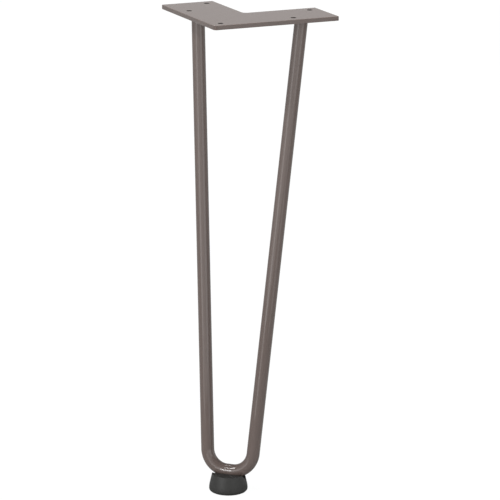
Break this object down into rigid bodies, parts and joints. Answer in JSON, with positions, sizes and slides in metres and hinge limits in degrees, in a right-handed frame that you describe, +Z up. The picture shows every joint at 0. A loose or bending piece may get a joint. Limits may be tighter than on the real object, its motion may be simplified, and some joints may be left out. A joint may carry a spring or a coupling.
{
  "type": "hairpin table leg",
  "caption": "Hairpin table leg: a round steel bar bent into a narrow V and welded under an L-shaped screw plate, with a moulded foot at the bend; it is screwed under a table corner.",
  "frame": {"origin": "on the plate's top face, midway between the two ends of the bar, which is the centre of the four arm screw holes", "axes": "+X across the hairpin from its left leg to its right one, +Y from the plate's outer corner into the table, +Z up to the tabletop"},
  "size_m": [0.1688, 0.1185, 0.435],
  "materials": {
    "taupe_paint": "satin taupe-grey paint",
    "charcoal_plastic": "fine moulded grain",
    "plated_steel": "zinc plated"
  },
  "bodies": {
    "root": {"mounting_plate": "taupe_paint", "hairpin_bar": "taupe_paint", "weld_bead_right": "taupe_paint", "weld_bead_left": "taupe_paint", "foot": "charcoal_plastic", "foot_screw": "plated_steel"}
  },
  "joints": []
}
